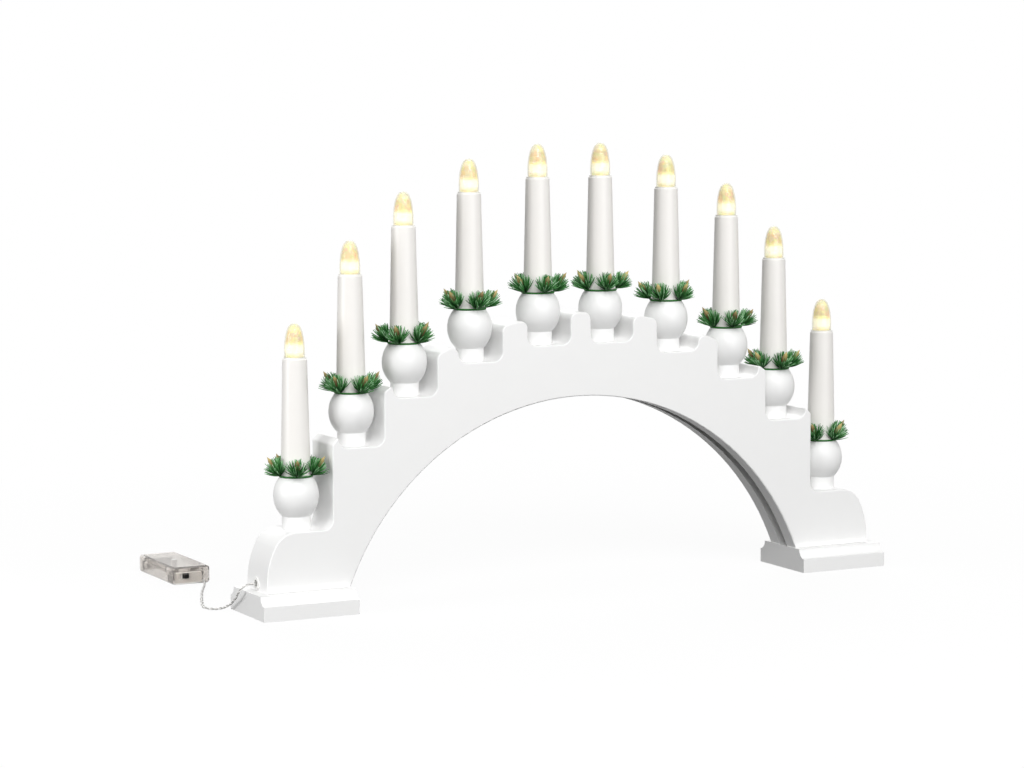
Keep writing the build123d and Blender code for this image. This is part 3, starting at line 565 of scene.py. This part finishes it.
def bud_model():
    """A bud along Z: overlapping scales, spun from a stepped half profile."""
    bm = bmesh.new()
    verts = [bm.verts.new((r, 0, z)) for r, z in BUD_PROFILE]
    edges = [bm.edges.new(pair) for pair in zip(verts, verts[1:])]
    bmesh.ops.spin(bm, geom=verts + edges, cent=(0, 0, 0), axis=(0, 0, 1), angle=2 * math.pi, steps=BUD_STEPS,
                   use_merge=True)
    bmesh.ops.remove_doubles(bm, verts=bm.verts, dist=0.001)
    bmesh.ops.recalc_face_normals(bm, faces=bm.faces)
    mesh = bpy.data.meshes.new("bud_model")
    bm.to_mesh(mesh)
    bm.free()
    return mesh


def ring_model():
    """The wire ring, spun from a small circle."""
    bm = bmesh.new()
    wire = bmesh.ops.create_circle(bm, segments=RING_SIDES, radius=RING_WIRE)["verts"]
    bmesh.ops.rotate(bm, verts=wire, matrix=Matrix.Rotation(math.pi / 2, 3, "X"))
    bmesh.ops.translate(bm, verts=wire, vec=(RING_RADIUS, 0, 0))
    bmesh.ops.spin(bm, geom=wire + list(bm.edges), cent=(0, 0, 0), axis=(0, 0, 1), angle=2 * math.pi,
                   steps=RING_STEPS, use_merge=True)
    mesh = bpy.data.meshes.new("ring_model")
    bm.to_mesh(mesh)
    bm.free()
    return mesh


needle = needle_model()
bud = bud_model()
wire_ring = ring_model()
print("needle faces", len(needle.polygons), "bud faces", len(bud.polygons))

# %% Tufts on their rings
TUFTS = 5
TUFT_LEAN = math.radians(62)
BUD_LEAN = math.radians(54)
STUB_LENGTH = 3.6 * MM
STUB_RADIUS = 0.8 * MM
FIRST_TUFT_ANGLE = 243.2
RING_TURN = (8.8, 36.0, -17.0, 26.5, 23.0, 20.0, -20.0, 20.0, 25.0, -27.2)
NEEDLES = 88
NEEDLE_LENGTH = (9.4 * MM, 11.2 * MM)
NEEDLE_GIRTH = (0.48 * MM, 0.62 * MM)
NEEDLE_SPREAD = (8.0, 70.0)
BUD_GIRTH = 1.15
BUD_LIFT = 2.4 * MM
GOLDEN_ANGLE = math.pi * (3 - math.sqrt(5))
STUB_SIDES = 8
STUB_TAPER = 0.7
RING_SHADE = 0.42
STUB_SHADE = 0.05
BUD_SWAY = 0.12
BUD_LENGTH = (0.95, 1.1)
BUD_SHADE = (0.02, 0.40)
BUD_SHADE_RISE = 0.75
NEEDLE_SWAY = 0.08
NEEDLE_TWIST = 0.25
NEEDLE_ROOT = 0.6
NEEDLE_DROP = (0.3, 0.8)
# Painted shade at the needles' feet and a painted highlight towards their tips, by share of length.
FOOT_SHADE = 0.08
SHADE_RISE = 0.30
TIP_HIGHLIGHT = 0.80
TIP_BIAS = 1.5
HIGHLIGHT_AT_FOOT = 0.35
CLEARANCE_TURNS = 5
CLEARANCE_REACH = 1.08
CLEARANCE_LIFT = 0.45


def tree_of(node):
    """A search tree of a CAD node's faces."""
    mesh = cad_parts[node].data
    return BVHTree.FromPolygons([v.co for v in mesh.vertices], [p.vertices for p in mesh.polygons])


def stand(place, way, towards, girth, length):
    """The matrix that stands a unit model at a place along a way, its +X side facing towards."""
    z = way.normalized()
    x = (towards - z * towards.dot(z)).normalized()
    return Matrix.Translation(place) @ Matrix((x * girth, z.cross(x) * girth, z * length)).transposed().to_4x4()


def take_model(bm, model):
    """Put a model into a bmesh and return its own geometry, to be copied from."""
    there = set(bm.verts)
    bm.from_mesh(model)
    verts = [v for v in bm.verts if v not in there]
    edges = {e for v in verts for e in v.link_edges}
    faces = {f for v in verts for f in v.link_faces}
    return [*verts, *edges, *faces]


def add_copy(bm, model, matrix, layer, shade_of, curl=0.0):
    """Copy a model inside its bmesh, shade and bend it along its length and move it to a matrix."""
    copied = bmesh.ops.duplicate(bm, geom=model)["geom"]
    verts = [item for item in copied if isinstance(item, bmesh.types.BMVert)]
    longest = max(v.co.z for v in verts)
    turn = matrix.to_3x3()
    slimness = turn.col[2].length / turn.col[0].length
    for vert in verts:
        share = vert.co.z / longest
        vert[layer] = shade_of(share)
        vert.co.x += curl * share**2 * slimness
    bmesh.ops.transform(bm, matrix=matrix, verts=verts)


def needle_shade(share, tip_highlight):
    """How light a needle is at a share of its length: painted shade at its foot, in the tuft's crowded heart,
    rising to a painted highlight at its tip that is stronger on some needles than on others.
    """
    return FOOT_SHADE + SHADE_RISE * share + tip_highlight * (HIGHLIGHT_AT_FOOT + (1 - HIGHLIGHT_AT_FOOT) * share)


def clear_way(place, way, axis, length, trees):
    """Turn a needle's way towards the tuft's axis until nothing stands in it."""
    for _ in range(CLEARANCE_TURNS):
        if not any(tree.ray_cast(place, way, length * CLEARANCE_REACH)[0] for tree in trees):
            return way
        way = (way + axis * CLEARANCE_LIFT).normalized()
    return None


def pine_ring(number, draw):
    """The meshes of one ring: its wire, stubs and needles, and its buds."""
    low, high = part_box(f"candle_cup_{number}")
    centre = Vector(((low.x + high.x) / 2, (low.y + high.y) / 2, high.z + RING_WIRE))
    trees = [tree_of(node) for node in ("arch_board", f"candle_cup_{number}", f"candle_tube_{number}")]
    green, brown = bmesh.new(), bmesh.new()
    green_shade = green.verts.layers.float.new("shade")
    brown_shade = brown.verts.layers.float.new("shade")
    green.from_mesh(wire_ring)
    bmesh.ops.translate(green, verts=green.verts, vec=centre)
    for vert in green.verts:
        vert[green_shade] = RING_SHADE
    needle_geometry = take_model(green, needle)
    bud_geometry = take_model(brown, bud)
    left_out = 0
    for k in range(TUFTS):
        turn = math.radians(FIRST_TUFT_ANGLE + RING_TURN[number - 1] + 360 * k / TUFTS)
        out = Vector((math.cos(turn), math.sin(turn), 0))
        across = Vector((-math.sin(turn), math.cos(turn), 0))
        axis = out * math.cos(TUFT_LEAN) + Vector((0, 0, math.sin(TUFT_LEAN)))
        root = centre + out * RING_RADIUS
        heart = root + axis * STUB_LENGTH
        stub = bmesh.ops.create_cone(green, cap_ends=True, segments=STUB_SIDES,
                                     radius1=STUB_TAPER * STUB_RADIUS, radius2=STUB_RADIUS,
                                     depth=STUB_LENGTH)["verts"]
        bmesh.ops.transform(green, verts=stub, matrix=stand(root + axis * STUB_LENGTH / 2, axis, across, 1, 1))
        for vert in stub:
            vert[green_shade] = STUB_SHADE
        bud_way = out * math.cos(BUD_LEAN) + Vector((0, 0, math.sin(BUD_LEAN)))
        bud_way += across * draw.uniform(-BUD_SWAY, BUD_SWAY)
        bud_shade = draw.uniform(*BUD_SHADE)
        bud_length = MM * draw.uniform(*BUD_LENGTH)
        bud_stand = stand(heart + bud_way * BUD_LIFT, bud_way, across, BUD_GIRTH * MM, bud_length)
        add_copy(brown, bud_geometry, bud_stand, brown_shade, lambda share: bud_shade + BUD_SHADE_RISE * share)
        for n in range(NEEDLES):
            share = math.sqrt((n + 0.5) / NEEDLES)
            tilt = math.radians(NEEDLE_SPREAD[0] + (NEEDLE_SPREAD[1] - NEEDLE_SPREAD[0]) * share)
            tilt += draw.uniform(-NEEDLE_SWAY, NEEDLE_SWAY)
            spin = n * GOLDEN_ANGLE + draw.uniform(-NEEDLE_TWIST, NEEDLE_TWIST)
            side = across * math.cos(spin) + axis.cross(across) * math.sin(spin)
            way = (axis * math.cos(tilt) + side * math.sin(tilt)).normalized()
            length = draw.uniform(*NEEDLE_LENGTH)
            girth = draw.uniform(*NEEDLE_GIRTH)
            start = heart + side * STUB_RADIUS * NEEDLE_ROOT
            start -= axis * share * draw.uniform(*NEEDLE_DROP) * STUB_LENGTH
            shade = draw.random()
            way = clear_way(start, way, axis, length, trees)
            if way is None:
                left_out += 1
                continue
            # Painted highlight: each needle's tip is lightened by a random amount.
            tip_highlight = TIP_HIGHLIGHT * shade**TIP_BIAS
            add_copy(green, needle_geometry, stand(start, way, axis, girth, length), green_shade,
                     lambda share: needle_shade(share, tip_highlight), NEEDLE_CURL)
    for bm, geometry in ((green, needle_geometry), (brown, bud_geometry)):
        model_verts = [item for item in geometry if isinstance(item, bmesh.types.BMVert)]
        bmesh.ops.delete(bm, geom=model_verts, context="VERTS")
    return green, brown, left_out


draw = random.Random(2412)
for number in range(1, COUNT + 1):
    green, brown, left_out = pine_ring(number, draw)
    ring = add_piece(f"pine_trim_{number}", mesh_from(green, f"pine_trim_{number}"), pine_needles)
    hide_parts(f"pine_ring_{number}")
    add_piece(f"pine_buds_{number}", mesh_from(brown, f"pine_buds_{number}"), bud_brown)
    print("ring", number, "faces", len(ring.data.polygons), "needles left out", left_out)

# %% [markdown]
# ## Floor, light and background
#
# The arch stands on a white table in soft studio light. The floor shows white to the camera, to gloss and
# to clear plastic, and keeps a faint shadow, but gives back little light to the arch's underside, as the
# photograph shows it dark. Soft lamps stand in front, close to the left end and behind, so that no side
# is left in the dark.

# %% Floor
FLOOR_SIZE = 30.0
SHADOW_SHARE = 0.08
SHADOW_REACH = (0.35, 0.75)


def white_to_camera(nodes, links):
    """A factor that is 1 for rays from the camera, from gloss and through clear plastic."""
    path = nodes.new("ShaderNodeLightPath")
    first = nodes.new("ShaderNodeMath")
    first.operation = "MAXIMUM"
    second = nodes.new("ShaderNodeMath")
    second.operation = "MAXIMUM"
    links.new(path.outputs["Is Camera Ray"], first.inputs[0])
    links.new(path.outputs["Is Glossy Ray"], first.inputs[1])
    links.new(first.outputs[0], second.inputs[0])
    links.new(path.outputs["Is Transmission Ray"], second.inputs[1])
    return second.outputs[0]


bm = bmesh.new()
bmesh.ops.create_grid(bm, x_segments=1, y_segments=1, size=FLOOR_SIZE / 2)
floor = bpy.data.objects.new("floor", mesh_from(bm, "floor"))
scene.collection.objects.link(floor)
floor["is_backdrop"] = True
table_white = bpy.data.materials.new("table_white")
table_white.use_nodes = True
nodes, links = table_white.node_tree.nodes, table_white.node_tree.links
nodes.remove(nodes["Principled BSDF"])
matte = nodes.new("ShaderNodeBsdfDiffuse")
matte.inputs["Color"].default_value = (0.95, 0.95, 0.95, 1)
dim = nodes.new("ShaderNodeBsdfDiffuse")
dim.inputs["Color"].default_value = (0.0, 0.0, 0.0, 1)
glow = nodes.new("ShaderNodeEmission")
glow.inputs["Strength"].default_value = 1.0
seen = nodes.new("ShaderNodeMixShader")
ground = nodes.new("ShaderNodeTexCoord")
distance = nodes.new("ShaderNodeVectorMath")
distance.operation = "LENGTH"
fade = nodes.new("ShaderNodeMapRange")
fade.inputs["From Min"].default_value, fade.inputs["From Max"].default_value = SHADOW_REACH
fade.inputs["To Min"].default_value, fade.inputs["To Max"].default_value = 1 - SHADOW_SHARE, 1.0
links.new(ground.outputs["Object"], distance.inputs[0])
links.new(distance.outputs["Value"], fade.inputs["Value"])
links.new(fade.outputs["Result"], seen.inputs["Fac"])
whole = nodes.new("ShaderNodeMixShader")
links.new(matte.outputs[0], seen.inputs[1])
links.new(glow.outputs[0], seen.inputs[2])
links.new(dim.outputs[0], whole.inputs[1])
links.new(seen.outputs[0], whole.inputs[2])
links.new(white_to_camera(nodes, links), whole.inputs["Fac"])
links.new(whole.outputs[0], nodes["Material Output"].inputs["Surface"])
floor.data.materials.append(table_white)

# %% World
SKY_STRENGTH = 0.26
world = bpy.data.worlds.new("studio")
scene.world = world
world.use_nodes = True
nodes, links = world.node_tree.nodes, world.node_tree.links
sky = nodes["Background"]
sky.inputs["Color"].default_value = (1.0, 1.0, 1.0, 1)
sky.inputs["Strength"].default_value = SKY_STRENGTH
backdrop = nodes.new("ShaderNodeBackground")
backdrop.inputs["Color"].default_value = (1, 1, 1, 1)
backdrop.inputs["Strength"].default_value = 1.0
whole = nodes.new("ShaderNodeMixShader")
links.new(sky.outputs[0], whole.inputs[1])
links.new(backdrop.outputs[0], whole.inputs[2])
links.new(white_to_camera(nodes, links), whole.inputs["Fac"])
links.new(whole.outputs[0], nodes["World Output"].inputs["Surface"])

# %% Lamps
AIM = Vector((0.0, 0.0, 0.14))


def soft_lamp(name, place, width, height, power):
    """A large lamp that looks at the arch."""
    data = bpy.data.lights.new(name, "AREA")
    data.shape = "RECTANGLE"
    data.size = width
    data.size_y = height
    data.energy = power
    lamp = bpy.data.objects.new(name, data)
    lamp.visible_camera = False
    lamp.location = place
    lamp.rotation_mode = "QUATERNION"
    lamp.rotation_quaternion = (AIM - Vector(place)).to_track_quat("-Z", "Y")
    scene.collection.objects.link(lamp)


soft_lamp("key_lamp", (-0.65, -1.98, 1.70), 1.4, 1.4, 45)
soft_lamp("front_lamp", (0.50, -2.40, 0.70), 1.6, 1.6, 28)
soft_lamp("left_lamp", (-0.95, 0.0, 0.24), 0.35, 0.4, 3.1)
soft_lamp("back_lamp", (0.75, 1.75, 1.60), 1.4, 1.4, 22)

# %% [markdown]
# ## Size
#
# The dressed model keeps to the CAD model's box but for the cord's slight wave. Its box is measured here,
# leaving out the backdrop.

# %% Size and end
low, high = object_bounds()
